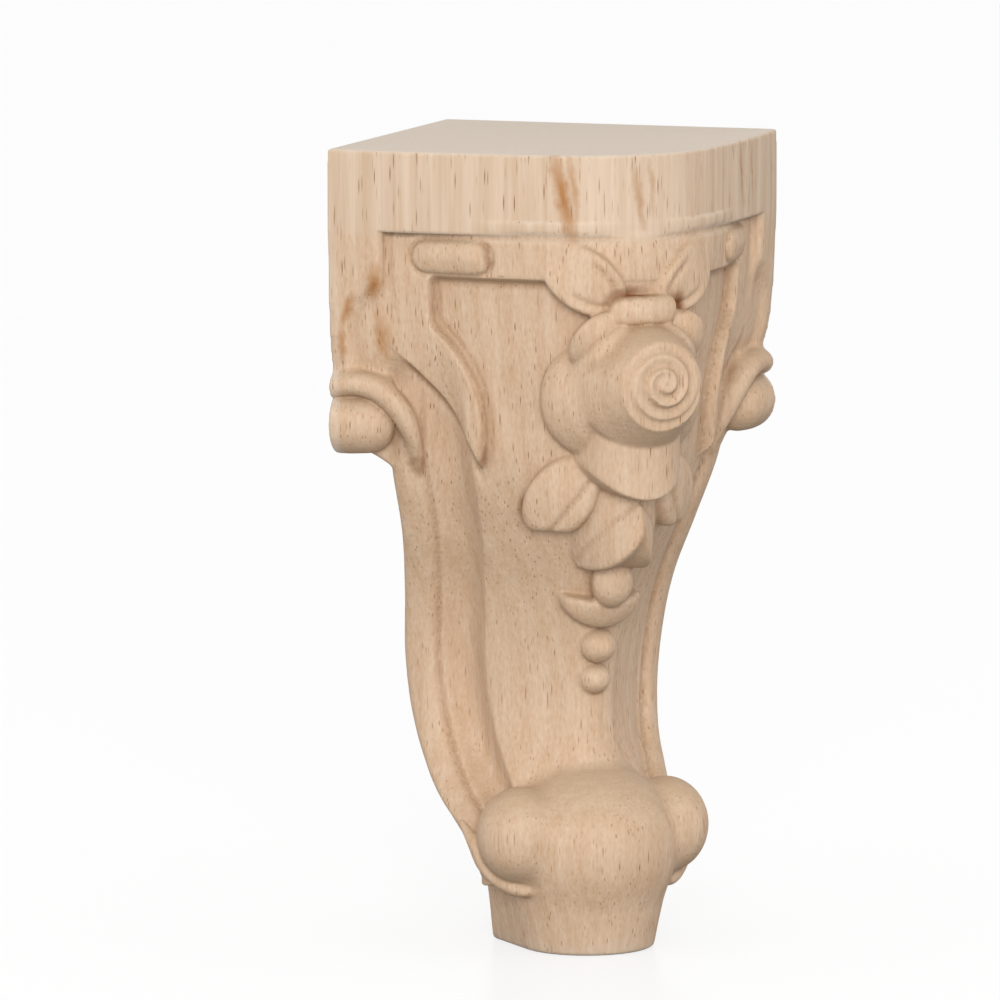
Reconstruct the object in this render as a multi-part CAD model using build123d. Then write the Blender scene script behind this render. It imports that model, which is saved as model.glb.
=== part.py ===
from build123d import *
from math import cos, radians, sin, sqrt
import os

# Carved corner leg for a cabinet, cut from one square blank of rubberwood.
# Millimetres. +Z is up, the carved corner of the blank faces -Y, and the
# origin is on the blank's own axis, at the floor.

# Blank
height = 100.0
blank_side = 44.0
corner_radius = 18.0
face_bow = 0.6
band_height = 10.0

# Shaft
rib_width = 4.6
face_width = 11.2
channel_depth = 1.1
panel_rise = 1.2

# Frame moulding on each front face
rail_height = 5.3
frame_proud = 1.6
frame_start = 7.8
stile_width = 5.0
pill_length = 10.3
pill_width = 4.0

# Wings and their ear scrolls
wing_width = 7.0
ear_radius = 3.9
ear_length = 7.4

# Rose and drop
coil_radius = 6.6
coil_step = 1.65
berry_radius = 2.9
bead_radius = 1.9

# Foot
toe_radius = 10.4
toe_width = 18.6
volute_radius = 5.4
base_width = 16.8
base_flare = 2.2
base_height = 10.0

# Levels and distances further down are those of a leg of the first two sizes,
# and follow them when they change.
rise = height / 100.0
across = blank_side / 44.0
half_diagonal = blank_side / sqrt(2)
band_bottom = height - band_height
root_depth = 8.0


def blank_point(u, v, z):
    """A point by its distances u and v from the right and left rear faces."""
    return Vector((v - u) / sqrt(2), half_diagonal - (u + v) / sqrt(2), z)


# Local x runs along the left front face from its rear edge, local y is up
# and local z comes straight out of the face.
left_face = Plane(origin=(0, half_diagonal, 0), x_dir=(1, -1, 0), z_dir=(-1, -1, 0))
# Local x runs forwards from the right rear face and local y is up.
wing_side = Plane(origin=(0, half_diagonal, 0), x_dir=(-1, -1, 0), z_dir=(-1, 1, 0))


def on_face(*points):
    """Places on a front face: distance from its rear edge, and level."""
    return [(v * across, z * rise) for v, z in points]


def on_left(v, z, u):
    """The left front face's plane, moved to a place on it at distance u from the rear."""
    return left_face * Pos(v * across, z * rise, u * across)


def carving_plane(x, y, z, turn=0.0, spin=0.0):
    """A plane touching a carved form: turned from the front to the left, local x along the form."""
    t, s = radians(turn), radians(spin)
    return Plane(
        origin=(x * across, y * across, z * rise),
        x_dir=(cos(s) * cos(t), -cos(s) * sin(t), sin(s)),
        z_dir=(-sin(t), -cos(t), 0),
    )


def both_sides(shape):
    return [shape, mirror(shape, about=Plane.YZ)]


def bulge(half_length, drop):
    """Radius of an arc that falls by drop over half a length."""
    return (half_length**2 + drop**2) / (2 * drop)


def petal(outline, half_length, drop, place):
    """A domed form: the outline's prism under a sphere."""
    radius = bulge(half_length, drop)
    dome = Pos(0, 0, -radius) * Rot(0, 90, 0) * Sphere(radius)
    return place * (extrude(outline, amount=-root_depth) & dome)


def oval(length, width):
    return SlotOverall(length, width).face()


def leaf(length, width, drop, place):
    """A pointed blade that bends down to both tips."""
    tip, side = length / 2, width / 2
    outline = make_face(
        [
            ThreePointArc((-tip, 0), (0, side), (tip, 0)),
            ThreePointArc((tip, 0), (0, -side), (-tip, 0)),
        ]
    )
    radius = bulge(tip, drop)
    bend = Pos(0, 0, -radius) * Rot(90, 0, 0) * Cylinder(radius, 2 * width)
    return place * (extrude(outline, amount=-root_depth) & bend)


def bead(radius, proud, place):
    """A round boss of three cones, on a plug that is buried in the wood."""
    outline = make_face(
        Polyline(
            (0, -root_depth),
            (radius, -root_depth),
            (radius, -proud),
            (radius * 0.84, -proud * 0.46),
            (radius * 0.5, -proud * 0.13),
            (0, 0),
            close=True,
        )
    )
    return place * Rot(90, 0, 0) * revolve(outline, axis=Axis.Y)


# Shaft stations from the foot up: level, then rear face, front face and
# rounded front corner, each measured from the rear of the blank
stations = [
    (9, 16.6, 35.2, 48.8),
    (14, 14.4, 35.4, 48.0),
    (19, 10.3, 33.0, 45.6),
    (24, 7.6, 31.0, 43.3),
    (29, 5.9, 30.1, 42.4),
    (36, 5.2, 30.4, 42.7),
    (44, 5.7, 32.2, 44.7),
    (52, 6.7, 35.2, 47.8),
    (60, 6.5, 37.7, 50.4),
    (70, 6.0, 39.3, 52.1),
    (80, 6.0, 40.9, 53.1),
    (93, 6.0, 41.6, 53.4),
]
channel_top = 80.0
channel_fade = 18.0


def shaft_section(level, rear, front, corner, grow):
    """One section: on each side a rib, a hollow channel and the panel that rounds the corner."""
    z = level * rise
    back = rear * across
    rib_face = front * across + grow
    panel_face = rib_face + panel_rise
    depth = channel_depth * max(0.1, min(1.0, (channel_top - level) / channel_fade))
    corner_mid = (corner * across + grow) / sqrt(2)
    round_radius = (panel_face - corner_mid) / (1 - 1 / sqrt(2))
    half = [
        (rib_face, back),
        (rib_face, back + rib_width),
        (rib_face + panel_rise / 4 - depth, back + (rib_width + face_width) / 2),
        (rib_face + panel_rise / 2, back + face_width),
        (panel_face, panel_face - round_radius),
    ]
    left = [blank_point(u, v, z) for u, v in half]
    right = [blank_point(v, u, z) for u, v in reversed(half)]
    front_corner = blank_point(corner_mid, corner_mid, z)
    return make_face(
        [
            Polyline(blank_point(back, back, z), *left),
            ThreePointArc(left[-1], front_corner, right[0]),
            Polyline(*right, blank_point(back, back, z)),
        ]
    )


def shaft(grow=0.0):
    return loft([shaft_section(*station, grow) for station in stations], ruled=True)


def plan(z):
    """The blank's outline: square at the back, faces slightly bowed, front corner round."""
    tangent = blank_side - corner_radius
    bow = blank_side + face_bow
    front = blank_side - corner_radius * (1 - 1 / sqrt(2))
    left, left_end = blank_point(blank_side, 0, z), blank_point(blank_side, tangent, z)
    right, right_end = blank_point(0, blank_side, z), blank_point(tangent, blank_side, z)
    return make_face(
        [
            Polyline(right, blank_point(0, 0, z), left),
            ThreePointArc(left, blank_point(bow, tangent / 2, z), left_end),
            ThreePointArc(left_end, blank_point(front, front, z), right_end),
            ThreePointArc(right_end, blank_point(tangent / 2, bow, z), right),
        ]
    )


band = extrude(plan(band_bottom), amount=band_height)

# Wings: the rear edges of the blank, left at full width down to the ears
ear_bottom = 62.6 * rise
ear_floor = 40.0
neck, waist, full = on_face((42.8, 74.5), (43.6, 80.5), (44.0, 87.0))
wing_outline = make_face(
    [
        Polyline((0, height), (0, ear_bottom), ((ear_floor - 1) * across, ear_bottom)),
        Polyline(((ear_floor - 1) * across, ear_bottom), *on_face((ear_floor, 71.0)), neck),
        ThreePointArc(neck, waist, full),
        Polyline(full, (blank_side, height), (0, height)),
    ]
)
wing = extrude(wing_side * wing_outline, amount=-wing_width)

# Frame moulding: a rail under the band and a stile that turns into a leaf
rail_bottom = band_bottom - rail_height
far = 2 * blank_side
field = [(frame_start, frame_start), (far, frame_start), (far, far), (frame_start, far)]
rail_field = make_face(Polyline(*[blank_point(u, v, rail_bottom) for u, v in field], close=True))
framed = shaft(frame_proud)
rail = framed & extrude(rail_field, amount=rail_height)

stile_inner = frame_start + stile_width
knee, leaf_back, leaf_tip, leaf_belly = on_face((0, 75.0), (13.6, 69.4), (18.5, 61.6), (18.3, 71.0))
fork = 78.5 * rise
stile_outline = make_face(
    [
        Line((frame_start, band_bottom), (frame_start, knee[1])),
        ThreePointArc((frame_start, knee[1]), leaf_back, leaf_tip),
        ThreePointArc(leaf_tip, leaf_belly, (stile_inner, fork)),
        Polyline((stile_inner, fork), (stile_inner, band_bottom), (frame_start, band_bottom)),
    ]
)
stile = framed & extrude(left_face * stile_outline, amount=far)
pill = petal(oval(pill_length, pill_width), pill_length / 2, 0.9, on_left(16.0, 87.2, 45.3))

# Ears: a roll with a round end, and a crescent rim over it
roll_outline = make_face(
    Polyline(
        (0, 0),
        (0, ear_radius),
        (ear_length * 0.55, ear_radius),
        (ear_length * 0.9, ear_radius * 0.65),
        (ear_length, 0),
        close=True,
    )
)
ear_roll = on_left(0, 65.8, 40.1) * revolve(roll_outline, axis=Axis.X)
rim_high, rim_crown, rim_bend, rim_side = on_face((0, 71.4), (4.6, 72.0), (8.6, 70.2), (10.7, 65.8))
rim_tip, rim_hollow, rim_inner, rim_arch = on_face((10.0, 60.9), (8.3, 65.2), (5.6, 69.0), (3.0, 70.0))
rim_low = (0, 68.9 * rise)
rim_outline = make_face(
    [
        Line(rim_low, rim_high),
        ThreePointArc(rim_high, rim_crown, rim_bend),
        ThreePointArc(rim_bend, rim_side, rim_tip),
        ThreePointArc(rim_tip, rim_hollow, rim_inner),
        ThreePointArc(rim_inner, rim_arch, rim_low),
    ]
)
rim_slope = make_face(Polyline(*on_face((30, 55), (38.6, 55), (43.3, 71), (43, 74), (30, 74)), close=True))
rim = extrude(left_face * rim_outline, amount=far) & extrude(wing_side * rim_slope, amount=-far)

# Foot: a barrel-shaped toe between two volutes with a lip round each, on a tapered base
toe_rings = [(0.5, 0.55), (0.36, 0.8), (0.14, 0.97)]
toe_half = [(toe_width * x, toe_radius * r) for x, r in toe_rings]
toe_outline = make_face(
    Polyline(
        (-toe_width / 2, 0),
        *[(-x, r) for x, r in toe_half],
        *reversed(toe_half),
        (toe_width / 2, 0),
        close=True,
    )
)
toe = Pos(0, -9.6 * across, 12.9 * rise) * revolve(toe_outline, axis=Axis.X)
volute = bead(volute_radius, 3.4, on_left(22.6, 13.7, 39.4))
lip_head, lip_side, lip_waist, lip_turn = on_face((7.8, 24.4), (13.4, 17.2), (17.3, 10.6), (19.2, 7.7))
lip_under, lip_end, lip_cup, lip_bed = on_face((23.0, 7.2), (24.4, 8.6), (21.0, 9.2), (19.2, 11.4))
lip_hollow, lip_root = on_face((17.2, 16.8), (11.2, 24.8))
lip_outline = make_face(
    [
        ThreePointArc(lip_head, lip_side, lip_waist),
        ThreePointArc(lip_waist, lip_turn, lip_under),
        Line(lip_under, lip_end),
        ThreePointArc(lip_end, lip_cup, lip_bed),
        ThreePointArc(lip_bed, lip_hollow, lip_root),
        Line(lip_root, lip_head),
    ]
)
lip_swell = on_face(
    (30, 6), (37.6, 6.8), (39.6, 11.0), (40.6, 14.5), (39.6, 17.2), (36.8, 19.4), (32.6, 21.0), (30, 22)
)
lip_profile = make_face(Polyline(*lip_swell, close=True))
lip = extrude(left_face * lip_outline, amount=far) & extrude(wing_side * lip_profile, amount=-far)

base_rear = 9.2 * across
base_axis = -8.9 * across


def base_section(z, half_width):
    shoulder = base_rear - base_width / 2
    return make_face(
        Polyline(
            (-half_width, base_axis, z),
            (-half_width, shoulder, z),
            (0, base_rear, z),
            (half_width, shoulder, z),
            (half_width, base_axis, z),
            close=True,
        )
    )


base_low = base_width / 2
base_high = base_low + base_flare
base = loft([base_section(0, base_low), base_section(base_height, base_high)], ruled=True)
base += Pos(0, base_axis, base_height / 2) * Cone(base_low, base_high, base_height)

# Rose: coils that step up off centre, in a ring of petals
rose_front = Plane(origin=(0, -half_diagonal, 72.1 * rise), x_dir=(1, 0, 0), z_dir=(0, -1, 0))
coil_depths = (3.2, 1.9, 0.9, 0.0)
bud = []
for i, depth in enumerate(coil_depths):
    turn, offset = 2.1 * i, 0.35 * i
    place = rose_front * Pos(offset * cos(turn), offset * sin(turn), -depth - root_depth / 2)
    bud.append(place * Cylinder(coil_radius - coil_step * i, root_depth))
side_petal = petal(oval(14.2, 11.6), 7.1, 3.4, carving_plane(-7.5, -23.0, 70.0, 36, 90))
upper_petal = petal(oval(9.6, 4.8), 4.8, 2.0, carving_plane(-4.6, -27.6, 77.8, 15, 28))
lower_petal = petal(oval(16.0, 5.6), 8.0, 4.0, carving_plane(0, -28.2, 66.4))

# Leaves over the rose
bar = Pos(0, -23.9 * across, 81.5 * rise) * Rot(0, 90, 0) * Cylinder(2.4, 9.0)
top_leaf = leaf(9.6, 8.4, 2.6, carving_plane(0, -25.0, 86.2, 0, 90))
shoulder_leaf = leaf(11.0, 6.4, 2.2, carving_plane(-7.4, -22.6, 84.8, 28, -40))

# Drop below the rose: a skirt, two pairs of leaves, a berry in its cup and two beads
skirt_side, skirt_tip, skirt_end, skirt_top = on_face((-6.6, 62.2), (0, 57.7), (6.6, 62.2), (6.6, 67.0))
skirt_outline = make_face(
    [
        ThreePointArc(skirt_side, skirt_tip, skirt_end),
        Polyline(skirt_end, skirt_top, (-skirt_top[0], skirt_top[1]), skirt_side),
    ]
)
skirt = extrude(carving_plane(0, -31.0, 0) * skirt_outline, amount=-far)
skirt &= Pos(0, -19.8 * across, 62.0 * rise) * Cylinder(6.6 * across, 20 * rise)
side_leaf = leaf(12.4, 6.4, 1.8, carving_plane(-8.4, -17.8, 57.4, 35, 45))
left_half = Pos(-far / 2, 0, height / 2) * Box(far, far, height)
low_leaf = leaf(16.4, 8.5, 2.6, carving_plane(-3.15, -21.0, 54.0, 55, 42)) & left_half
berry = bead(berry_radius, 1.6, carving_plane(0, -18.3, 46.8))
cup = petal(oval(10.4, 6.8), 5.2, 3.0, carving_plane(0, -16.2, 43.4))
beads = [bead(bead_radius, 1.0, carving_plane(0, y, z)) for y, z in ((-13.6, 38.3), (-12.9, 34.1))]

leg = shaft() + band + rail
for piece in (wing, stile, pill, ear_roll, rim, volute, lip):
    leg += both_sides(piece)
for piece in (side_petal, upper_petal, shoulder_leaf, side_leaf, low_leaf):
    leg += both_sides(piece)
for piece in [toe, base, *bud, lower_petal, bar, top_leaf, skirt, berry, cup, *beads]:
    leg += piece

os.makedirs("parts", exist_ok=True)
export_step(leg, "parts/carved_leg.step")
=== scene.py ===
# %% [markdown]
# # A carved corner leg in raw rubberwood
# The CAD solid has the leg's main forms. This script carves the same leg finely, gives it
# its wood, and stands it on a white table. The leg is one piece of wood, so it is one mesh.

# %% Load the frame
from math import cos, pi, radians, sin, sqrt

import bpy
import numpy as np
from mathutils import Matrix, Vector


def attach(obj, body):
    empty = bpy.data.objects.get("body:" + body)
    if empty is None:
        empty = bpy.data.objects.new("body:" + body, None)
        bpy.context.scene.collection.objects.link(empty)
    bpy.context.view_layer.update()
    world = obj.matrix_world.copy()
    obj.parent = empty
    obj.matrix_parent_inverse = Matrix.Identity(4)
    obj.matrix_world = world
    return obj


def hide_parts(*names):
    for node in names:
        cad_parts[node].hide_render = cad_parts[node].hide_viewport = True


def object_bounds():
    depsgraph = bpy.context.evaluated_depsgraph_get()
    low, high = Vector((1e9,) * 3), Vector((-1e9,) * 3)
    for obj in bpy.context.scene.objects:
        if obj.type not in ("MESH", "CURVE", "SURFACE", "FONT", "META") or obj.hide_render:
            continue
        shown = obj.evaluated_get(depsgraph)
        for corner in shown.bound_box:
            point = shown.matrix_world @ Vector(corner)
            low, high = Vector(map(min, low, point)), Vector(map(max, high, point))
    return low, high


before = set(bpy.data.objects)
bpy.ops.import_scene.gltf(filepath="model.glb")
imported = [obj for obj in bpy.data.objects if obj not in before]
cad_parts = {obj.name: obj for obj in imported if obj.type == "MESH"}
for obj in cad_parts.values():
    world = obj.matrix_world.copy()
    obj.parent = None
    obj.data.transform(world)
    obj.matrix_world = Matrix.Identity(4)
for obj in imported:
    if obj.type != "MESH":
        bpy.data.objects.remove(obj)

import openvdb
from mathutils import Vector

cad_low, cad_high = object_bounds()
print("CAD box in metres:", [round(c, 4) for c in (*cad_low, *cad_high)])

# %% [markdown]
# A carver starts from a block and takes wood away, and soft edges meet other soft edges.
# Polygons are poor at that, so the leg is drawn first as a distance field: a block of small
# cells, each holding its distance to the wood's surface, negative inside. Two forms are then
# joined by the smaller distance, and a rounded version of that gives the fillet a gouge leaves.
# Both halves of the leg are alike, so only the left half is worked out, and then mirrored.

# %% The block of cells
millimetre = 0.001
cell = 0.25
margin = 1.5
half_diagonal = cad_high.x / millimetre
height = cad_high.z / millimetre
blank_side = half_diagonal * sqrt(2)

steps = int((half_diagonal + margin) / cell) + 1
across = (np.arange(-steps, 1) * cell).astype(np.float32)
along = (np.arange(-steps, steps + 1) * cell).astype(np.float32)
upward = np.arange(-margin, height + margin, cell).astype(np.float32)
X, Y, Z = across[:, None, None], along[None, :, None], upward[None, None, :]

# Distances from the right and left rear faces of the square blank
U = (half_diagonal - Y - X) / sqrt(2)
V = (half_diagonal - Y + X) / sqrt(2)
print("cells in the left half:", X.size * Y.size * Z.size)


# %% Joining and shaping helpers
def join(a, b, soft):
    """The two forms together, with a fillet of about this size where they meet."""
    mix = np.clip(0.5 + 0.5 * (b - a) / soft, 0, 1)
    return b + (a - b) * mix - soft * mix * (1 - mix)


def keep(a, b, soft):
    """What lies in both forms, with the edge between them rounded."""
    return -join(-a, -b, soft)


def ease(t):
    """A smooth step from 0 to 1."""
    t = np.clip(t, 0, 1)
    return t * t * (3 - 2 * t)


def line(distance, width):
    """A soft groove's section: 1 in its middle, fading over its width."""
    return np.exp(-((distance / width) ** 2))


def through(points, at):
    """A smooth curve through points of (level, value)."""
    levels, values = np.array(points, float).T
    slopes = np.gradient(values, levels)
    at = np.clip(np.asarray(at, float), levels[0], levels[-1])
    i = np.clip(np.searchsorted(levels, at) - 1, 0, len(levels) - 2)
    step = levels[i + 1] - levels[i]
    t = (at - levels[i]) / step
    start = (1 + 2 * t) * (1 - t) ** 2 * values[i] + t * (1 - t) ** 2 * step * slopes[i]
    end = t * t * (3 - 2 * t) * values[i + 1] + t * t * (t - 1) * step * slopes[i + 1]
    return (start + end).astype(np.float32)


# %% [markdown]
# The shaft has the same section all the way up, growing and shrinking: a square rear edge, a
# convex rib, a hollow channel, and a panel that rolls round the front corner. The faces are
# described as a relief, the distance of the wood from the rear face, so that the rail, the
# stile that turns into a leaf, and the oval boss are simply higher places in it.

# %% The shaft's outline, level by level
rear_face = [(9, 16.6), (14, 14.4), (19, 10.0), (24, 7.2), (29, 5.6), (36, 4.9), (44, 5.5),
             (52, 6.3), (60, 6.1), (70, 6.0), (93, 6.0)]
front_face = [(9, 35.2), (14, 35.4), (19, 32.9), (24, 30.9), (29, 30.1), (36, 30.4), (44, 32.2),
              (52, 35.5), (60, 38.4), (70, 39.6), (80, 40.9), (93, 41.6)]
front_corner = [(9, 48.8), (14, 48.0), (19, 45.6), (24, 43.3), (29, 42.4), (36, 42.7), (44, 44.7),
                (52, 47.8), (60, 50.4), (70, 52.1), (80, 53.1), (93, 53.4)]
rear = through(rear_face, upward)[None, None, :]
front = through(front_face, upward)[None, None, :]
corner = through(front_corner, upward)[None, None, :]

rib_width, rib_rise = 4.6, 0.55
ridge_place, panel_blend, panel_rise = 11.2, 3, 1.2
channel_depth, channel_top, channel_fade = 2.2, 76, 14
# The quirk is the fine groove that parts the rib from the channel
quirk_depth, quirk_width = 0.7, 0.4
face_place = V - rear
channel_share = ease((channel_top - Z) / channel_fade)

rib = rib_rise * np.clip(1 - ((face_place - rib_width / 2) / (rib_width / 2)) ** 2, 0, 1)
hollow = np.sin(pi * np.clip((face_place - rib_width) / (ridge_place - rib_width), 0, 1))
relief = front + rib * channel_share - channel_depth * hollow * channel_share
relief = relief - quirk_depth * line(face_place - rib_width, quirk_width) * channel_share
panel_place = (face_place - rib_width) / (ridge_place + panel_blend - rib_width)
relief = relief + panel_rise * ease(panel_place)
print("face relief from", relief.min().round(1), "to", relief.max().round(1), "mm")


# %% Flat outlines on the face
def circle_through(a, b, c):
    """Centre and radius of the circle through three points."""
    (ax, ay), (bx, by), (cx, cy) = a, b, c
    d = 2 * (ax * (by - cy) + bx * (cy - ay) + cx * (ay - by))
    a2, b2, c2 = ax**2 + ay**2, bx**2 + by**2, cx**2 + cy**2
    x = (a2 * (by - cy) + b2 * (cy - ay) + c2 * (ay - by)) / d
    y = (a2 * (cx - bx) + b2 * (ax - cx) + c2 * (bx - ax)) / d
    return x, y, sqrt((ax - x) ** 2 + (ay - y) ** 2)


def inside_arc(v, z, a, b, c):
    """Distance to the circle through three points, negative inside it."""
    x, y, radius = circle_through(a, b, c)
    return np.sqrt((v - x) ** 2 + (z - y) ** 2) - radius


def slab(value, low, high):
    """Distance to a strip between two limits, negative inside it."""
    return np.maximum(low - value, value - high)


# %% The frame moulding: rail, stile and leaf
rail_low, frame_top = 84.5, 92
stile_left, stile_right, stile_low = 8.1, 12.8, 76
leaf_tip, leaf_top = (18.6, 61.0), 80
leaf_under = ((7.8, 75.0), (13.6, 69.4), leaf_tip)
leaf_over = (leaf_tip, (18.4, 71.0), (stile_right, 78.5))
frame_edge, leaf_edge = 0.5, 0.3
stile_fillet, leaf_fillet = 1.2, 0.8
frame_proud, frame_slope = 1.7, 0.7
trench_depth, trench_width = 0.25, 0.4

face_v = V + 0 * Z
rail = keep(slab(Z, rail_low, frame_top), stile_left - face_v, frame_edge)
stile = keep(slab(face_v, stile_left, stile_right), slab(Z, stile_low, frame_top), frame_edge)
leaf_form = keep(-inside_arc(face_v, Z, *leaf_under), inside_arc(face_v, Z, *leaf_over), leaf_edge)
leaf_form = np.maximum(leaf_form, Z - leaf_top)
moulding = join(join(rail, stile, stile_fillet), leaf_form, leaf_fillet)
relief = relief + frame_proud * ease(0.5 - moulding / frame_slope)
relief = relief - trench_depth * line(moulding - frame_slope, trench_width)
print("moulding covers", round(float((moulding < 0).mean()) * 100, 1), "% of the field")

# %% The shallow gap between the stile and the wing beside it
strip_face = [(60, 38.8), (66, 39.6), (71, 41.6), (74.5, 42.8), (80.5, 43.6), (87, 43.9),
              (90, 44.0), (100, 44.0)]
strip = through(strip_face, upward)[None, None, :]
gap_depth = 1.1
gap_right, gap_fade = 10.5, 1.5
gap_low, gap_rise = 70, 5
gap_share = ease((gap_right - face_v) / gap_fade) * ease((Z - gap_low) / gap_rise)
relief = relief + np.maximum(strip - gap_depth - relief, 0) * gap_share
print("gap", gap_depth, "mm deep")

# %% The oval boss on the rail, and the groove under the band
boss_from, boss_to, boss_level, boss_radius = 12.6, 19.2, 87.1, 2.0
boss_rise = 0.75
boss_trench, trench_place, boss_trench_width = 0.3, 0.25, 0.3
band_bottom, band_groove, band_groove_width = 90.0, 0.7, 0.4
boss_place = face_v - np.clip(face_v, boss_from, boss_to)
boss = np.sqrt(boss_place**2 + (Z - boss_level) ** 2) - boss_radius
relief = relief + boss_rise * np.sqrt(np.clip(-boss / boss_radius, 0, 1))
relief = relief - boss_trench * line(boss - trench_place, boss_trench_width)
relief = relief - band_groove * line(Z - band_bottom, band_groove_width)
print("boss", round(boss_to - boss_from + 2 * boss_radius, 1), "mm long")

# %% The shaft as a distance field
corner_mid = corner / sqrt(2)
panel = front + panel_rise
roundness = (panel - corner_mid) / (1 - 1 / sqrt(2))
from_left = U - relief + roundness
from_right = V - panel + roundness
round_corner = np.sqrt(np.maximum(from_left, 0) ** 2 + np.maximum(from_right, 0) ** 2)
leg = round_corner + np.minimum(np.maximum(from_left, from_right), 0) - roundness
rear_edge, shaft_low = 1.2, 8
leg = keep(leg, rear - V, rear_edge)
leg = np.maximum(leg, slab(Z, shaft_low, frame_top))
print("shaft done, thinnest level:", round(float(corner.min()), 1), "mm deep")

# %% [markdown]
# The band on top is the blank itself, left square at the back and rounded at the front. The
# wings are the blank's two side edges, left standing down to the ears. Band and wing are one
# sawn face, so they are joined with no fillet. A gouge has hollowed each wing beside its gap.

# %% Band and wings
corner_radius, face_bow, bow_place = 18.0, 0.6, 13
arris = 0.25
bow = face_bow * np.clip(1 - ((V - bow_place) / bow_place) ** 2, 0, 1)
band_left, band_right = U - blank_side - bow + corner_radius, V - blank_side + corner_radius
band = np.sqrt(np.maximum(band_left, 0) ** 2 + np.maximum(band_right, 0) ** 2)
band = band + np.minimum(np.maximum(band_left, band_right), 0) - corner_radius
band = keep(band, -V, arris)
band = keep(band + 0 * Z, slab(Z, band_bottom, height), arris)

scoop_side = through([(71, 2.6), (75.5, 1.2), (78.7, 1.6), (82, 3.2), (84.8, 5.0)], upward)[None, None, :]
scoop_depth, scoop_slope = 0.9, 2.2
scoop_low, scoop_rise = 70.5, 2
scoop_high, scoop_fade = 85, 4
scoop = scoop_depth * ease((V - scoop_side) / scoop_slope)
scoop = scoop * ease((Z - scoop_low) / scoop_rise) * ease((scoop_high - Z) / scoop_fade)

wing_width, wing_bottom, wing_top, wing_sag = 7.1, 62.7, 99, 0.06
wing_edge, wing_end_edge, wing_fillet = 1.2, 0.8, 0.4
bow_low, bow_rise = 78, 10
wing = keep(U - strip - bow * ease((Z - bow_low) / bow_rise) + scoop, V - wing_width, wing_edge)
wing = keep(np.maximum(wing, -V), slab(Z + wing_sag * V**2, wing_bottom, wing_top), wing_end_edge)
leg = join(leg, np.minimum(band, wing), wing_fillet)
print("band and wings joined, deepest scoop", scoop.max().round(2), "mm")


# %% [markdown]
# The ears and the foot's scrolls are rolls: a thread of wood of changing thickness along a
# bent path. One function draws such a roll from a few path points, and another draws the
# swelling forms, which are eggs.

# %% Rolls and eggs
far_away, tiny = 1e3, 1e-6


def window(low, high):
    """The cells between two corners."""
    limits = []
    for axis, a, b in zip((across, along, upward), low, high):
        limits.append(slice(int(np.searchsorted(axis, a)), int(np.searchsorted(axis, b)) + 1))
    return tuple(limits)


def cells(part):
    """The places of those cells along the three axes."""
    i, j, k = part
    return across[i][:, None, None], along[j][None, :, None], upward[k][None, None, :]


def on_left(u, v, z):
    """A point by its distances from the rear faces, in the leg's own axes."""
    return (v - u) / sqrt(2), half_diagonal - (u + v) / sqrt(2), z


def roll(path, radii, soft, pieces=28):
    """Adds a roll along a smooth path through points of (u, v, z)."""
    path = np.array([on_left(*p) for p in path])
    share = np.linspace(0, 1, len(path))
    dense = np.linspace(0, 1, pieces)
    knots = np.stack([through(np.stack([share, path[:, i]], 1), dense) for i in range(3)], 1)
    sizes = through(np.stack([share, radii], 1), dense)
    reach = max(radii) + 2 * soft + 1
    part = window(knots.min(0) - reach, knots.max(0) + reach)
    x, y, z = cells(part)
    nearest = np.full(leg[part].shape, far_away, np.float32)
    for a, b, ra, rb in zip(knots[:-1], knots[1:], sizes[:-1], sizes[1:]):
        d = b - a
        px, py, pz = x - a[0], y - a[1], z - a[2]
        t = np.clip((px * d[0] + py * d[1] + pz * d[2]) / (d @ d), 0, 1)
        gap = np.sqrt((px - t * d[0]) ** 2 + (py - t * d[1]) ** 2 + (pz - t * d[2]) ** 2)
        nearest = np.minimum(nearest, gap - (ra + (rb - ra) * t))
    leg[part] = join(leg[part], nearest, soft)


def egg(part, u, v, z, radii):
    """The field of an egg with its radii along both faces' normals and upward."""
    x, y, level = cells(part)
    p = ((half_diagonal - y - x) / sqrt(2) - u) / radii[0]
    q = ((half_diagonal - y + x) / sqrt(2) - v) / radii[1]
    r = (level - z) / radii[2]
    near = np.sqrt(p * p + q * q + r * r) + tiny
    slope = np.sqrt((p / radii[0]) ** 2 + (q / radii[1]) ** 2 + (r / radii[2]) ** 2) + tiny
    return near * (near - 1) / slope


def swell(u, v, z, radii, soft):
    """Adds an egg."""
    centre = np.array(on_left(u, v, z))
    part = window(centre - max(radii) - 2 * soft - 1, centre + max(radii) + 2 * soft + 1)
    leg[part] = join(leg[part], egg(part, u, v, z, radii), soft)


# %% The ears
ear_level, ear_out = 65.9, 40.05
rim_fillet, ear_fillet = 1.3, 0.3
rim_path = [(42.2, -1.0, 70.3), (42.3, 2.6, 71.0), (42.0, 5.8, 70.3), (41.2, 8.2, 67.9),
            (40.1, 9.5, 64.7), (38.7, 10.0, 61.0)]
roll(rim_path, (1.4, 1.5, 1.55, 1.45, 1.1, 0.35), rim_fillet)
ear_path = [(ear_out, v, ear_level) for v in (0.0, 1.8, 3.6)]
roll(ear_path, (3.9, 3.9, 3.8), ear_fillet)
print("ears rolled at level", ear_level, "mm")

# %% [markdown]
# The foot is a round toe on a tapered base. Beside the toe sit two scrolls: each is a button
# with a thin lip that leaves the shaft's rib, curls under the button and ends in a point.

# %% The foot: base and toe
base_axis, base_rear, base_top = -8.9, 15.5, 12.5
base_edge, base_top_edge = 0.8, 0.5
base_half = through([(0, 8.4), (4, 9.2), (8, 10.1), (11, 10.7), (13, 10.7)], upward)[None, None, :]
ahead = np.minimum(Y - base_axis, 0)
foot = np.sqrt(X**2 + ahead**2) - base_half
foot = keep(keep(foot, base_rear - V, base_edge), slab(Z, 0, base_top), base_top_edge)

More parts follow.
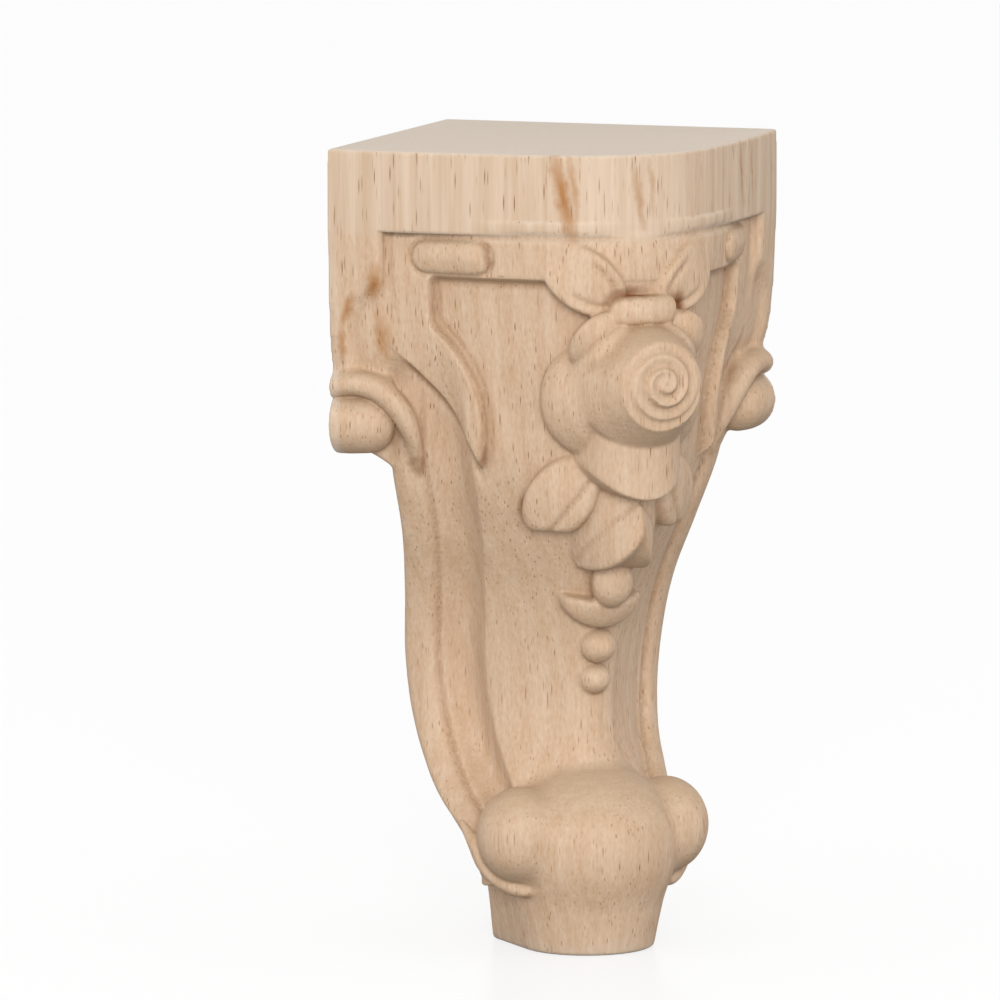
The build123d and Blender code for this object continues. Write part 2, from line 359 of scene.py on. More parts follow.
toe_ahead, toe_level, toe_radii = 9.5, 12.8, (10.9, 10.9, 10.5)
toe_low, toe_high = (-16, -25, -1), (0, 8, 27)
toe_fillet, foot_fillet = 1.0, 0.8
toe_place = (half_diagonal + toe_ahead) / sqrt(2)
toe_part = window(toe_low, toe_high)
toe = egg(toe_part, toe_place, toe_place, toe_level, toe_radii)
foot[toe_part] = join(foot[toe_part], toe, toe_fillet)
leg = join(leg, foot, foot_fillet)
print("foot joined, toe", 2 * toe_radii[0], "mm wide")

# %% The foot: buttons and lips
button_place, button_radii = (36.7, 22.4, 14.8), (5.4, 5.3, 6.0)
button_fillet, lip_fillet = 1.3, 0.4
swell(*button_place, button_radii, button_fillet)
lip_path = [(36.6, 14.8, 16.0), (37.8, 16.9, 13.6), (37.9, 18.3, 11.0), (37.7, 20.4, 9.0),
            (37.5, 23.3, 8.1), (37.2, 25.4, 8.7)]
roll(lip_path, (0.4, 0.9, 1.0, 1.0, 0.9, 0.4), lip_fillet)
print("button", 2 * button_radii[2], "mm tall")


# %% [markdown]
# The rose, its leaves and the drop are shallow carvings laid on the rounded corner. Each one
# is an outline on a tilted plane with a height over that plane, so one function adds them all:
# it takes the outline's distance and the height as two small formulas.

# %% Carvings on a tilted plane
root_depth = 8.0


def carving(place, half, outline, top, edge=0.5, soft=0.35):
    """Adds a carving inside a box of cells that reaches half to each side of its place.

    place is x, y, z, and then the turn to the left, the spin and the lean in degrees.
    """
    x, y, z, turn, spin, lean = place
    t, s, e = radians(turn), radians(spin), radians(lean)
    level = np.array((cos(t), -sin(t), 0))
    outward = np.array((-sin(t) * cos(e), -cos(t) * cos(e), sin(e)))
    length = cos(s) * level + sin(s) * np.cross(outward, level)
    width = np.cross(outward, length)
    centre = np.array((x, y, z))
    part = window(centre - half, centre + half)
    px, py, pz = (c - m for c, m in zip(cells(part), centre))
    a = px * length[0] + py * length[1] + pz * length[2]
    b = px * width[0] + py * width[1] + pz * width[2]
    c = px * outward[0] + py * outward[1] + pz * outward[2]
    form = keep(c - top(a, b), outline(a, b), edge)
    form = np.maximum(form, -root_depth - c)
    leg[part] = join(leg[part], form, soft)


# %% Outlines and faces for the carvings
def oval(length, width):
    """An oval outline."""
    def outline(a, b):
        p, q = a / (length / 2), b / (width / 2)
        near = np.sqrt(p * p + q * q) + tiny
        slope = np.sqrt((p / (length / 2)) ** 2 + (q / (width / 2)) ** 2) + tiny
        return near * (near - 1) / slope
    return outline


def blade(length, width):
    """A leaf's outline between two equal arcs, pointed at both ends."""
    half, side = length / 2, width / 2
    radius = (half**2 + side**2) / (2 * side)

    def outline(a, b):
        return np.sqrt(a * a + (np.abs(b) + radius - side) ** 2) - radius
    return outline


def pad(length, width, rounding):
    """An oblong outline with rounded corners."""
    return lambda a, b: keep(np.abs(a) - length / 2, np.abs(b) - width / 2, rounding)


def dome(length, drop):
    """A round face that has dropped this far at half the length."""
    return lambda a, b: -drop * (a * a + b * b) / (length / 2) ** 2


def barrel(radius):
    """The front of an upright cylinder."""
    return lambda a, b: np.sqrt(np.maximum(radius**2 - a * a, 0)) - radius


def veined(length, drop, fold, midrib, offset=0.0):
    """A leaf's face: bent down to its tips, folded along a midrib that may lie off the middle."""
    midrib_width = 0.4

    def top(a, b):
        bend = -drop * (a / (length / 2)) ** 2
        return bend - fold * np.abs(b - offset) - midrib * line(b - offset, midrib_width)
    return top


def cupped(length, drop, dip):
    """A petal's face: domed, and hollowed on the side that goes under the bud."""
    dip_place, dip_width = -3.2, 1.8

    def top(a, b):
        return -drop * (a * a + b * b) / (length / 2) ** 2 - dip * line(b - dip_place, dip_width)
    return top


# %% Petals and leaves
rose_level, bud_rim = 72.5, 5.4
curl_outline = oval(12.0, 7.4)


def flank(a, b):
    """The slope from the bud to its petals, steep above and at the sides and gentle below."""
    least_slope, side_slope, upper_slope = 1.35, 1.0, 1.0
    r = np.sqrt(a * a + b * b) + tiny
    slope = least_slope + side_slope * (a / r) ** 2 + upper_slope * ease(b / r)
    return -slope * np.maximum(r - bud_rim, 0)


def curled(a, b):
    """A curled leaf's face: bent down to its tips, with a fine line inside its outer end."""
    bend, depth, inset, width = 0.045, 0.3, 1.5, 0.5
    return -bend * a * a - depth * line(curl_outline(a, b) + inset, width) * ease((a + 1) / 2)


def rounded_bar(a, b):
    """A bar's face: bent along its length, and more across it."""
    bend, across_bend = 0.06, 0.16
    return -bend * a * a - across_bend * b * b


# The wide outer petal, then the slope that the bud stands on
petal, petal_face = oval(14.2, 11.8), cupped(14.2, 3.0, 2.0)
carving((-7.5, -23.2, 70.0, 36, 90, 0), 12, petal, petal_face, edge=1.0)
carving((0, -29.6, rose_level - 0.4, 0, 0, 0), 12, oval(16.6, 16.4), flank, edge=0.5, soft=1.0)
# The small petal above, then the low swelling under the band
small_petal, small_face = oval(8.8, 5.8), veined(8.8, 2.0, -0.25, 0.2)
carving((-6.2, -24.9, 77.6, 28, 42, 8), 9, small_petal, small_face, edge=0.8, soft=0.5)
carving((0, -24.1, 86.0, 0, 90, 0), 8, oval(7.6, 11.0), dome(11.0, 1.4), edge=1.2, soft=1.6)
# The curled leaf on the rail, then the bar that ties leaves and rose together
carving((-7.6, -23.1, 84.8, 28, -36, 0), 10, curl_outline, curled, edge=0.7)
carving((0, -26.2, 81.0, 0, 0, 0), 8, pad(8.8, 3.6, 1.4), rounded_bar, edge=0.7)
print("petals and leaves laid, rose at level", rose_level, "mm")

# %% The skirt under the rose, and the drop that hangs from it
side_oval, side_face = oval(12.2, 8.2), veined(12.2, 1.3, 0.1, 0.4, -1.6)
low_blade, low_face = blade(16.4, 8.8), veined(16.4, 2.6, 0.0, 0.25)
cup_oval, cup_brim, brim_edge = oval(10.4, 7.4), 0.4, 0.5
bead_fillet = 0.25


def side_leaf(a, b):
    """The side leaf's oval, cut short where it goes under the skirt."""
    cut_along, cut_across, cut_place, cut_edge = 0.79, 0.62, 4.4, 0.6
    return keep(side_oval(a, b), -cut_along * a - cut_across * b - cut_place, cut_edge)


def half_cup(a, b):
    """The lower half of an oval."""
    return keep(cup_oval(a, b), b - cup_brim, brim_edge)


carving((-8.5, -18.4, 57.3, 35, 52, -8), 10, side_leaf, side_face, edge=1.0)
carving((-3.15, -21.0, 54.0, 55, 42, 0), 11, low_blade, low_face, edge=0.6)
carving((0, -26.4, 64.8, 0, 0, 0), 10, oval(14.2, 14.2), barrel(6.6), edge=0.5)
carving((0, -15.8, 43.6, 0, 0, -15), 8, half_cup, dome(11.0, 2.6), edge=0.7)
# The berry in the cup, and two beads under it, by y, z and radii
hanging = ((-15.7, 46.7, (2.7, 2.7, 3.4)), (-12.1, 38.1, (2.2,) * 3), (-11.0, 33.9, (2.0,) * 3))
for y, z, radii in hanging:
    middle_place = (half_diagonal - y) / sqrt(2)
    swell(middle_place, middle_place, z, radii, bead_fillet)
leg = np.maximum(leg, np.maximum(-V, -half_diagonal - Y))
print("skirt carved, berry and beads hung:", len(hanging))

# %% Mirror the half, then carve the rosebud, which turns one way
leg = np.concatenate([leg, leg[-2::-1]], axis=0)
across = np.concatenate([across, -across[-2::-1]])


def spiral(spacing, lift):
    """Petals rolled round each other: the height drops at each lip of a spiral."""
    lip_rise, lip_power, lip_turn, lip_fall = 0.7, 1.5, 0.66, 0.34
    bend, fall = 0.03, 0.0012
    core, core_lift = 1.6, 0.3

    def top(a, b):
        r = np.sqrt(a * a + b * b)
        phase = r / spacing - np.arctan2(b, a) / (2 * pi)
        share = phase - np.floor(phase)
        lip = (share / lip_rise) ** lip_power * (1 - ease((share - lip_turn) / lip_fall))
        return -bend * r**2 - fall * r**4 - lift * (1 - lip) * np.clip(r / core, core_lift, 1)
    return top


bud, coil_spacing, coil_lift = oval(12.8, 12.6), 1.75, 0.7
carving((0, -31.0, rose_level, 0, 0, 0), 10, bud, spiral(coil_spacing, coil_lift), edge=2.2, soft=0.8)
print("whole field:", leg.shape)

# %% [markdown]
# The field becomes a mesh where its distance is zero. That gives several hundred thousand
# even faces, and a Decimate modifier keeps the ones that carry the shape.

# %% Field to mesh
outside, narrow_band = 2 * cell, 3 * cell
grid = openvdb.FloatGrid(outside)
grid.copyFromArray(np.ascontiguousarray(np.clip(leg, -narrow_band, narrow_band)))
points, quads = grid.convertToQuads(0.0)
corner_of_field = np.array((across[0], along[0], upward[0]))
points = (points * cell + corner_of_field) * millimetre
carved = bpy.data.meshes.new("leg_carving")
carved.from_pydata(points.tolist(), [], quads.tolist())
carved.validate()
leg_carving = bpy.data.objects.new("leg_carving", carved)
bpy.context.scene.collection.objects.link(leg_carving)
print("faces before thinning:", len(carved.polygons))


# %% Thin the mesh
def settle(piece):
    """Turns an object with modifiers into a plain mesh."""
    graph = bpy.context.evaluated_depsgraph_get()
    plain = bpy.data.meshes.new_from_object(piece.evaluated_get(graph))
    piece.modifiers.clear()
    piece.data = plain
    return plain


most_triangles = 190000
thin = leg_carving.modifiers.new("thin", "DECIMATE")
thin.ratio = min(1.0, most_triangles / (2 * len(carved.polygons)))
carved = settle(leg_carving)
carved.shade_smooth()
for vertex in carved.vertices:
    for axis in range(3):
        vertex.co[axis] = min(max(vertex.co[axis], cad_low[axis]), cad_high[axis])
print("triangles kept:", sum(len(p.vertices) - 2 for p in carved.polygons))


# %% Measure the hollows, for painted shade
# In a hollow the field is higher in the middle than round about, so the difference finds the
# creases and recesses. It is kept on the mesh, and the wood's material paints shade there.
# A second number is 0 on the sawn faces, the band and the underside, and 1 where wood is carved.
places = np.empty(len(carved.vertices) * 3, np.float32)
carved.vertices.foreach_get("co", places)
places = places.reshape(-1, 3) / millimetre
at = np.rint((places - corner_of_field) / cell).astype(int)
probe, deep_hollow = 0.75, 3
change = -6 * leg[tuple(at.T)]
for axis in range(3):
    for side in (-probe, probe):
        beside = at.copy()
        beside[:, axis] = np.clip(beside[:, axis] + round(side / cell), 0, leg.shape[axis] - 1)
        change = change + leg[tuple(beside.T)]
cavity_shade_share = np.clip(-change / probe**2 / deep_hollow, 0, 1).astype(np.float32)

sawn_skin = 1
x, y, z = places.T
inward = np.minimum(half_diagonal - y - x, half_diagonal - y + x)
carved_share = np.clip(inward - sawn_skin, 0, 1) * np.clip(z - sawn_skin, 0, 1)
carved_share = carved_share * np.clip(band_bottom - z, 0, 1)
# The hollow attribute is painted shade for the wood's creases and recesses
for name, values in (("hollow", cavity_shade_share), ("carved", carved_share.astype(np.float32))):
    carved.attributes.new(name, "FLOAT", "POINT").data.foreach_set("value", values)
print("share of vertices in hollows:", (cavity_shade_share > 0.3).mean().round(3))


# %% [markdown]
# The wood is rubberwood, sanded and left raw: pale beige and dull. Its pores are open and
# show as short brown dashes along the grain and as dots where the grain is cut across. Each
# part of its look is a pattern in millimetres, laid through the solid like the real figure.

# %% Node helper and colours
def linear(code):
    """An sRGB hex colour as linear RGBA."""
    channels = [int(code[i : i + 2], 16) / 255 for i in (1, 3, 5)]
    return [c / 12.92 if c <= 0.04045 else ((c + 0.055) / 1.055) ** 2.4 for c in channels] + [1.0]


def node(tree, kind, settings=None, **inputs):
    """Adds a node, sets its properties and its inputs, and links any input that is a socket."""
    made = tree.nodes.new(kind)
    for name, value in (settings or {}).items():
        setattr(made, name, value)
    for name, value in inputs.items():
        socket = made.inputs[int(name[1:])] if name[1:].isdigit() else made.inputs[name.replace("_", " ")]
        if isinstance(value, bpy.types.NodeSocket):
            tree.links.new(value, socket)
        else:
            socket.default_value = value
    return made


# %% Rubberwood: fibres and growth layers
rubberwood = bpy.data.materials.new("rubberwood_raw_sanded")
rubberwood.use_nodes = True
tree = rubberwood.node_tree
shader = tree.nodes["Principled BSDF"]
seen = node(tree, "ShaderNodeTexCoord")
place = seen.outputs["Object"]
colour_mix = {"data_type": "RGBA"}

# Fibres: fine upright lines of lighter and darker tone
fibre_width, fibre_run = 0.7 * millimetre, 22 * millimetre
fibre_at = node(tree, "ShaderNodeMapping", Vector=place,
                Scale=(1 / fibre_width, 1 / fibre_width, 1 / fibre_run))
fibre = node(tree, "ShaderNodeTexNoise", Vector=fibre_at.outputs[0], Scale=1.0, Detail=3.0, Roughness=0.6)

# Growth layers: broad soft bands that follow the tree, so they curve on rounded forms
layer_width, layer_tone, layer_wander = 2.6 * millimetre, 0.10, 14.0
drift_width, drift_run = 100 / 9 * millimetre, 500 / 7 * millimetre
drift_at = node(tree, "ShaderNodeMapping", Vector=place,
                Scale=(1 / drift_width, 1 / drift_width, 1 / drift_run))
drift = node(tree, "ShaderNodeTexNoise", Vector=drift_at.outputs[0], Scale=1.0, Detail=2.0)
drift_phase = node(tree, "ShaderNodeMath", {"operation": "MULTIPLY"}, i0=drift.outputs[0], i1=layer_wander)
depth = node(tree, "ShaderNodeSeparateXYZ", Vector=place)
layer_at = node(tree, "ShaderNodeMath", {"operation": "MULTIPLY_ADD"},
                i0=depth.outputs["Y"], i1=2 * pi / layer_width, i2=drift_phase.outputs[0])
layer = node(tree, "ShaderNodeMath", {"operation": "SINE"}, i0=layer_at.outputs[0])
layered = node(tree, "ShaderNodeMath", {"operation": "MULTIPLY_ADD"},
               i0=layer.outputs[0], i1=layer_tone, i2=fibre.outputs[0])
print("growth layers", round(layer_width / millimetre, 1), "mm apart")

# %% Rubberwood: fuzz, fresh wood and pores
# Fuzz: the fine torn fibres of a carved face, about a third of a millimetre across
carved_mark = node(tree, "ShaderNodeAttribute", {"attribute_name": "carved"})
fuzz_width, fuzz_run, fuzz_tone = 0.35 * millimetre, 0.9 * millimetre, 0.9
fuzz_at = node(tree, "ShaderNodeMapping", Vector=place,
               Scale=(1 / fuzz_width, 1 / fuzz_width, 1 / fuzz_run))
fuzz = node(tree, "ShaderNodeTexNoise", Vector=fuzz_at.outputs[0], Scale=1.0, Detail=1.0)
torn = node(tree, "ShaderNodeMath", {"operation": "SUBTRACT"}, i0=fuzz.outputs[0], i1=0.5)
torn_share = node(tree, "ShaderNodeMath", {"operation": "MULTIPLY"},
                  i0=torn.outputs[0], i1=carved_mark.outputs["Fac"])
tone = node(tree, "ShaderNodeMath", {"operation": "MULTIPLY_ADD"},
            i0=torn_share.outputs[0], i1=fuzz_tone, i2=layered.outputs[0])
ground = node(tree, "ShaderNodeMix", colour_mix, Factor=tone.outputs[0],
              i6=linear("#BF9F80"), i7=linear("#DFCAB3"))

# Carved faces are cut fresh below the sawn skin, and look a little warmer
fresh_tint = 0.3
fresh_share = node(tree, "ShaderNodeMath", {"operation": "MULTIPLY"},
                   i0=carved_mark.outputs["Fac"], i1=fresh_tint)
fresh = node(tree, "ShaderNodeMix", colour_mix, Factor=fresh_share.outputs[0],
             i6=ground.outputs[2], i7=linear("#CBA17A"))

# Pores: the open vessels, fine dashes a few millimetres long, crowded in some places
pore_spacing, pore_run = 0.35 * millimetre, 4.5 * millimetre
pore_core, pore_rim, pore_dark = 0.11, 0.29, 0.88
pores_at = node(tree, "ShaderNodeMapping", Vector=place,
                Scale=(1 / pore_spacing, 1 / pore_spacing, 1 / pore_run))
pores = node(tree, "ShaderNodeTexVoronoi", Vector=pores_at.outputs[0], Scale=1.0)
dash = node(tree, "ShaderNodeMapRange", Value=pores.outputs["Distance"],
            From_Min=pore_core, From_Max=pore_rim, To_Min=1.0, To_Max=0.0)
chance = node(tree, "ShaderNodeSeparateColor", Color=pores.outputs["Color"])
some = node(tree, "ShaderNodeMapRange", Value=chance.outputs[0], From_Min=0.2, From_Max=0.9)
crowd = node(tree, "ShaderNodeMapRange", Value=drift.outputs[0], From_Min=0.35, From_Max=0.62, To_Min=0.5)
few = node(tree, "ShaderNodeMath", {"operation": "MULTIPLY"}, i0=some.outputs[0], i1=crowd.outputs[0])
pore = node(tree, "ShaderNodeMath", {"operation": "MULTIPLY"}, i0=dash.outputs[0], i1=few.outputs[0])
pore_tint = node(tree, "ShaderNodeMath", {"operation": "MULTIPLY"}, i0=pore.outputs[0], i1=pore_dark)
grained = node(tree, "ShaderNodeMix", colour_mix, Factor=pore_tint.outputs[0],
               i6=fresh.outputs[2], i7=linear("#875930"))
print("pores at most", round(2 * pore_rim * pore_spacing / millimetre, 2), "mm wide")

# %% Rubberwood: end grain, painted shade in hollows, and chatter
# Where the grain is cut across, the wood looks greyer, and darker where it is carved and rough
facing = node(tree, "ShaderNodeSeparateXYZ", Vector=seen.outputs["Normal"])
upright = node(tree, "ShaderNodeMath", {"operation": "ABSOLUTE"}, i0=facing.outputs["Z"])
end_tone = node(tree, "ShaderNodeMix", colour_mix, Factor=carved_mark.outputs["Fac"],
                i6=linear("#CDC2B5"), i7=linear("#B39B80"))
cut_across = node(tree, "ShaderNodeMapRange", Value=upright.outputs[0],
                  From_Min=0.35, From_Max=0.95, To_Max=0.75)
ended = node(tree, "ShaderNodeMix", colour_mix, Factor=cut_across.outputs[0],
             i6=grained.outputs[2], i7=end_tone.outputs[2])

# Hollows are a little browner: painted shade in the creases and recesses
cavity_shade_tint = 0.38
cavity_shade_mark = node(tree, "ShaderNodeAttribute", {"attribute_name": "hollow"})
painted_cavity_shade = node(tree, "ShaderNodeMath", {"operation": "MULTIPLY"},
              i0=cavity_shade_mark.outputs["Fac"], i1=cavity_shade_tint)
cavity_shaded = node(tree, "ShaderNodeMix", colour_mix, Factor=painted_cavity_shade.outputs[0],
              i6=ended.outputs[2], i7=linear("#8F6A48"))

# Chatter: the cutter's fine level lines on sloping carved faces
chatter_run, chatter_spacing, chatter_tint = 3 * millimetre, 0.45 * millimetre, 0.3
chatter_at = node(tree, "ShaderNodeMapping", Vector=place,
                  Scale=(1 / chatter_run, 1 / chatter_run, 1 / chatter_spacing))
chatter = node(tree, "ShaderNodeTexNoise", Vector=chatter_at.outputs[0], Scale=1.0, Detail=1.0)
sloping = node(tree, "ShaderNodeMapRange", Value=upright.outputs[0], From_Min=0.15, From_Max=0.5)
chatter_share = node(tree, "ShaderNodeMath", {"operation": "MULTIPLY"},
                     i0=sloping.outputs[0], i1=carved_mark.outputs["Fac"])
lines = node(tree, "ShaderNodeMath", {"operation": "MULTIPLY"},
             i0=chatter.outputs[0], i1=chatter_share.outputs[0])
line_tint = node(tree, "ShaderNodeMath", {"operation": "MULTIPLY"}, i0=lines.outputs[0], i1=chatter_tint)
lined = node(tree, "ShaderNodeMix", colour_mix, Factor=line_tint.outputs[0],
             i6=cavity_shaded.outputs[2], i7=linear("#A88966"))
print("chatter lines", round(chatter_spacing / millimetre, 2), "mm apart")

# %% Rubberwood: mineral streaks and burns
# Each mark is a long soft egg in the wood from one point to another, with a radius and a
# strength. A little noise in the place makes its edge uneven.
streaks = [((-10.4, -20.4, 101), (-8.2, -21.7, 89), 0.85, 0.85),
           ((-8.9, -21.3, 101), (-7.6, -21.9, 92), 0.5, 0.5),
           ((-0.9, -23.6, 99), (0.4, -23.6, 90.5), 0.5, 0.5),
           ((1.2, -23.6, 100), (1.8, -23.5, 92), 0.4, 0.4),
           ((19.4, -12.3, 101), (20.3, -11.5, 90.5), 0.45, 0.5),
           ((22.6, -9.2, 101), (23.1, -8.8, 91), 0.4, 0.45),
           (on_left(43.8, 6.2, 85.4), on_left(43.4, 5.4, 81.5), 0.9, 0.8),
           (on_left(43.7, 3.4, 82.6), on_left(43.4, 1.5, 78.0), 0.5, 0.7),
           (on_left(43.4, 1.5, 78.6), on_left(43.0, 1.7, 72.8), 0.5, 0.7),
           (on_left(43.0, 6.2, 80.5), on_left(42.2, 6.9, 72.0), 1.0, 0.6)]
burns = [(on_left(44.2, 20.4, 88.8), on_left(44.2, 21.3, 86.0), 0.6, 0.6),
         (on_left(40.8, 5.4, 68.0), on_left(39.4, 7.6, 62.6), 0.9, 0.55),
         (on_left(39.0, 9.5, 62.0), on_left(38.5, 9.9, 60.0), 0.8, 0.8),
         (on_left(40.4, 18.4, 64.5), on_left(40.1, 18.8, 61.2), 0.7, 0.7),
         ((-4.3, -23.9, 82.5), (0.9, -24.6, 83.1), 1.0, 1.0),
         ((4.9, -23.7, 82.6), (5.1, -23.4, 79.8), 1.0, 1.0),
         ((0.2, -26.0, 57.5), (0.2, -24.3, 50.5), 0.7, 0.7),
         (on_left(38.4, 23.9, 58.4), on_left(38.2, 23.2, 54.0), 0.8, 0.8),
         ((-2.9, -15.6, 48.2), (-2.8, -15.2, 44.6), 0.7, 0.7),
         ((-5.0, -22.6, 88.2), (-4.0, -23.6, 84.0), 0.6, 0.5)]
mark_spread, mark_core = 1.5, 0.2
wander_size, wander_reach = millimetre / 0.7, 1.2 * millimetre
wander = node(tree, "ShaderNodeTexNoise", Vector=place, Scale=1 / wander_size, Detail=2.0)
shifted = node(tree, "ShaderNodeVectorMath", {"operation": "MULTIPLY_ADD"},
               i0=wander.outputs["Color"], i1=(wander_reach,) * 3, i2=(-wander_reach / 2,) * 3)
uneven = node(tree, "ShaderNodeVectorMath", {"operation": "ADD"}, i0=place, i1=shifted.outputs[0])
stained = lined.outputs[2]
for marks, tint in ((streaks, "#A36822"), (burns, "#7C4A22")):
    strength = 0.0
    for start, end, radius, share in marks:
        start, end = Vector(start) * millimetre, Vector(end) * millimetre
        thick = mark_spread * radius * millimetre
        about = node(tree, "ShaderNodeMapping", {"vector_type": "TEXTURE"}, Vector=uneven.outputs[0],
                     Location=(start + end) / 2, Rotation=(end - start).to_track_quat("Z", "Y").to_euler(),
                     Scale=(thick, thick, (end - start).length / 2 + thick))
        away = node(tree, "ShaderNodeVectorMath", {"operation": "LENGTH"}, i0=about.outputs[0])
        mark = node(tree, "ShaderNodeMapRange", Value=away.outputs["Value"],
                    From_Min=mark_core, From_Max=1.0, To_Min=share, To_Max=0.0)
        stronger = node(tree, "ShaderNodeMath", {"operation": "MAXIMUM"}, i0=strength, i1=mark.outputs[0])
        strength = stronger.outputs[0]
    mixed = node(tree, "ShaderNodeMix", colour_mix, Factor=strength, i6=stained, i7=linear(tint))
    stained = mixed.outputs[2]
print("streaks:", len(streaks), "burns:", len(burns))

# %% Rubberwood: the fine surface
# Pores sink, and fibres, chatter lines and torn fuzz stand up, by about a tenth of a millimetre
surface_height, surface_strength = 0.1 * millimetre, 0.5
open_grain = node(tree, "ShaderNodeMath", {"operation": "MULTIPLY_ADD"},
                  i0=pore.outputs[0], i1=-1.0, i2=fibre.outputs[0])
combed = node(tree, "ShaderNodeMath", {"operation": "ADD"}, i0=open_grain.outputs[0], i1=lines.outputs[0])
surface = node(tree, "ShaderNodeMath", {"operation": "ADD"}, i0=combed.outputs[0], i1=torn_share.outputs[0])
bump = node(tree, "ShaderNodeBump", Height=surface.outputs[0],
            Strength=surface_strength, Distance=surface_height)
tree.links.new(stained, shader.inputs["Base Color"])
tree.links.new(bump.outputs[0], shader.inputs["Normal"])
shader.inputs["Roughness"].default_value = 0.68
shader.inputs["IOR"].default_value = 1.45
print("nodes in the wood:", len(tree.nodes))

# %% [markdown]
# A carving cutter and a sanding drum leave the faces very slightly wavy, which breaks up the
# light. A Geometry Nodes group moves every carved point along its normal by a soft noise. It
# leaves the sawn faces flat, because the carved share of a point there is nothing.

# %% The tool ripple
ripple = bpy.data.node_groups.new("tool_ripple", "GeometryNodeTree")
ripple.interface.new_socket("Geometry", in_out="INPUT", socket_type="NodeSocketGeometry")
settings = {"Ripple height": 0.06 * millimetre, "Ripple spacing": 2.6 * millimetre, "Seed": 4.0}
sockets = {name: ripple.interface.new_socket(name, in_out="INPUT", socket_type="NodeSocketFloat")
           for name in settings}
sockets["Wood"] = ripple.interface.new_socket("Wood", in_out="INPUT", socket_type="NodeSocketMaterial")
ripple.interface.new_socket("Geometry", in_out="OUTPUT", socket_type="NodeSocketGeometry")
given = node(ripple, "NodeGroupInput")
point_place = node(ripple, "GeometryNodeInputPosition")
density = node(ripple, "ShaderNodeMath", {"operation": "DIVIDE"}, i0=1.0, i1=given.outputs["Ripple spacing"])
wave = node(ripple, "ShaderNodeTexNoise", {"noise_dimensions": "4D"}, Vector=point_place.outputs[0],
            W=given.outputs["Seed"], Scale=density.outputs[0], Detail=1.0)
centred = node(ripple, "ShaderNodeMath", {"operation": "SUBTRACT"}, i0=wave.outputs[0], i1=0.5)
scaled = node(ripple, "ShaderNodeMath", {"operation": "MULTIPLY"},
              i0=centred.outputs[0], i1=given.outputs["Ripple height"])
carved_there = node(ripple, "GeometryNodeInputNamedAttribute", {"data_type": "FLOAT"}, Name="carved")
lift = node(ripple, "ShaderNodeMath", {"operation": "MULTIPLY"},
            i0=scaled.outputs[0], i1=carved_there.outputs[0])
normal = node(ripple, "GeometryNodeInputNormal")
push = node(ripple, "ShaderNodeVectorMath", {"operation": "SCALE"},
            i0=normal.outputs[0], Scale=lift.outputs[0])
moved = node(ripple, "GeometryNodeSetPosition", Geometry=given.outputs["Geometry"], Offset=push.outputs[0])
real = node(ripple, "GeometryNodeRealizeInstances", Geometry=moved.outputs[0])
wooden = node(ripple, "GeometryNodeSetMaterial", Geometry=real.outputs[0], Material=given.outputs["Wood"])
node(ripple, "NodeGroupOutput", Geometry=wooden.outputs[0])

rippled = leg_carving.modifiers.new("tool_ripple", "NODES")
rippled.node_group = ripple
for name, value in settings.items():
    rippled[sockets[name].identifier] = value
rippled[sockets["Wood"].identifier] = rubberwood
carved = settle(leg_carving)
carved.shade_smooth()
print("materials on the leg:", [m.name for m in carved.materials if m])

# %% [markdown]
# The leg is one body with no joint. It rides on the frame's root, shows in place of the CAD
# solid of the same leg, and wears the wood that the record names.

# %% Hand the leg to the frame
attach(leg_carving, "root")
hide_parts("carved_leg")
print("handed over:", leg_carving.name)

# %% [markdown]
# The leg stands on a white table in soft studio light from the front left. The world is pure
# white to the camera, and a little dimmer as a light. The table is white to the camera too,
# but part of its look is its real shading, so the shadow and a faint reflection stay.

# %% The table
table_half, glow_share = 3.0, 0.72
floor_mesh = bpy.data.meshes.new("floor")
corners = [(x, y, 0) for x, y in ((-table_half, -table_half), (table_half, -table_half),
                                  (table_half, table_half), (-table_half, table_half))]
floor_mesh.from_pydata(corners, [], [(0, 1, 2, 3)])
floor = bpy.data.objects.new("floor", floor_mesh)
bpy.context.scene.collection.objects.link(floor)

# White laminate: smooth and slightly glossy, so it gives a faint reflection
white = bpy.data.materials.new("white_laminate")
white.use_nodes = True
table_tree = white.node_tree
laminate = table_tree.nodes["Principled BSDF"]
laminate.inputs["Base Color"].default_value = linear("#FBFBFB")
laminate.inputs["Roughness"].default_value = 0.25
laminate.inputs["IOR"].default_value = 1.25
glow = node(table_tree, "ShaderNodeEmission", Color=(1, 1, 1, 1), Strength=1.0)
dim = node(table_tree, "ShaderNodeBsdfDiffuse", Color=linear("#A8A8A8"))
bright = node(table_tree, "ShaderNodeMixShader", i0=glow_share, i1=laminate.outputs[0], i2=glow.outputs[0])
table_ray = node(table_tree, "ShaderNodeLightPath")
table = node(table_tree, "ShaderNodeMixShader",
             i0=table_ray.outputs["Is Camera Ray"], i1=dim.outputs[0], i2=bright.outputs[0])
table_tree.links.new(table.outputs[0], table_tree.nodes["Material Output"].inputs["Surface"])
floor_mesh.materials.append(white)
print("table", 2 * table_half, "m wide")

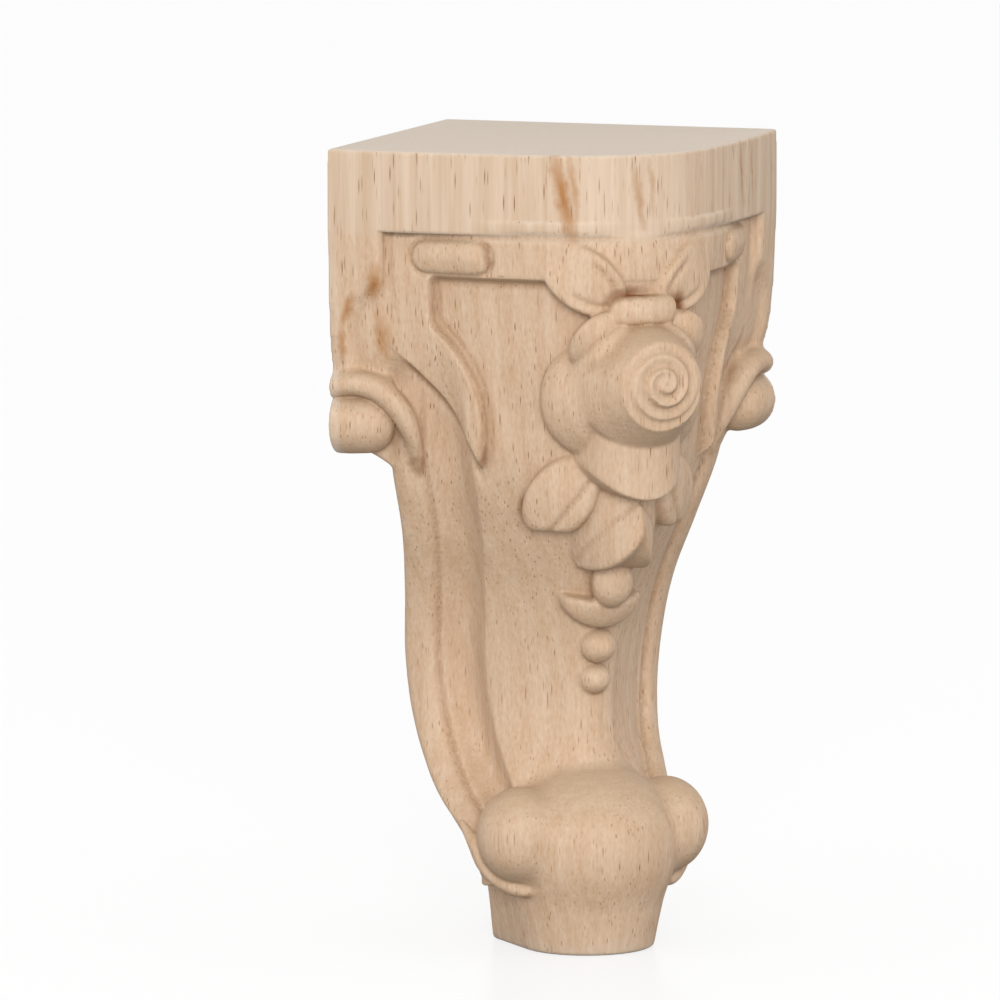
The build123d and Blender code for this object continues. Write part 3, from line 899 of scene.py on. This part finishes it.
# %% The white surroundings
light_level = 0.88
world = bpy.data.worlds.new("studio")
bpy.context.scene.world = world
world.use_nodes = True
sky = world.node_tree
background = sky.nodes["Background"]
sky_ray = node(sky, "ShaderNodeLightPath")
direct = node(sky, "ShaderNodeMath", {"operation": "MAXIMUM"},
              i0=sky_ray.outputs["Is Camera Ray"], i1=sky_ray.outputs["Is Glossy Ray"])
visible = node(sky, "ShaderNodeMath", {"operation": "MAXIMUM"},
               i0=direct.outputs[0], i1=sky_ray.outputs["Is Transmission Ray"])
brightness = node(sky, "ShaderNodeMapRange", Value=visible.outputs[0], To_Min=light_level, To_Max=1.0)
background.inputs["Color"].default_value = (1, 1, 1, 1)
sky.links.new(brightness.outputs[0], background.inputs["Strength"])
print("world as a light:", light_level)


# %% The lamp
def lamp(name, place, target, size, power):
    """A square soft box that shines at a target."""
    data = bpy.data.lights.new(name, "AREA")
    data.shape, data.size, data.energy = "SQUARE", size, power
    made = bpy.data.objects.new(name, data)
    made.location = place
    made.rotation_mode = "QUATERNION"
    made.rotation_quaternion = (Vector(target) - Vector(place)).to_track_quat("-Z", "Y")
    bpy.context.scene.collection.objects.link(made)


middle = Vector((0, 0, 0.05))
lamp_place, lamp_size, lamp_power = (-0.40, -0.88, 0.34), 0.4, 5.2
lamp("front_left", lamp_place, middle, lamp_size, lamp_power)
print("lamp:", lamp_power, "W")

# %% [markdown]
# The camera stands a little above the leg and to its left, far off and with a long lens, so
# upright edges stay nearly parallel. Its shift moves the leg to its place in the picture.

# %% The camera
azimuth, elevation, distance = radians(-26.36), radians(7.58), 1.2
back = Vector((sin(azimuth) * cos(elevation), -cos(azimuth) * cos(elevation), sin(elevation)))
camera = bpy.data.objects.new("camera", bpy.data.cameras.new("camera"))
bpy.context.scene.collection.objects.link(camera)
camera.data.sensor_width = 36
camera.data.lens = 346.4
camera.data.shift_x, camera.data.shift_y = -0.0546, 0.0383
camera.data.clip_start, camera.data.clip_end = 0.05, 20
camera.location = middle + back * distance
camera.rotation_mode = "QUATERNION"
camera.rotation_quaternion = (-back).to_track_quat("-Z", "Y")
bpy.context.scene.camera = camera
bpy.context.scene.view_settings.view_transform = "Standard"
print("camera", distance, "m away")
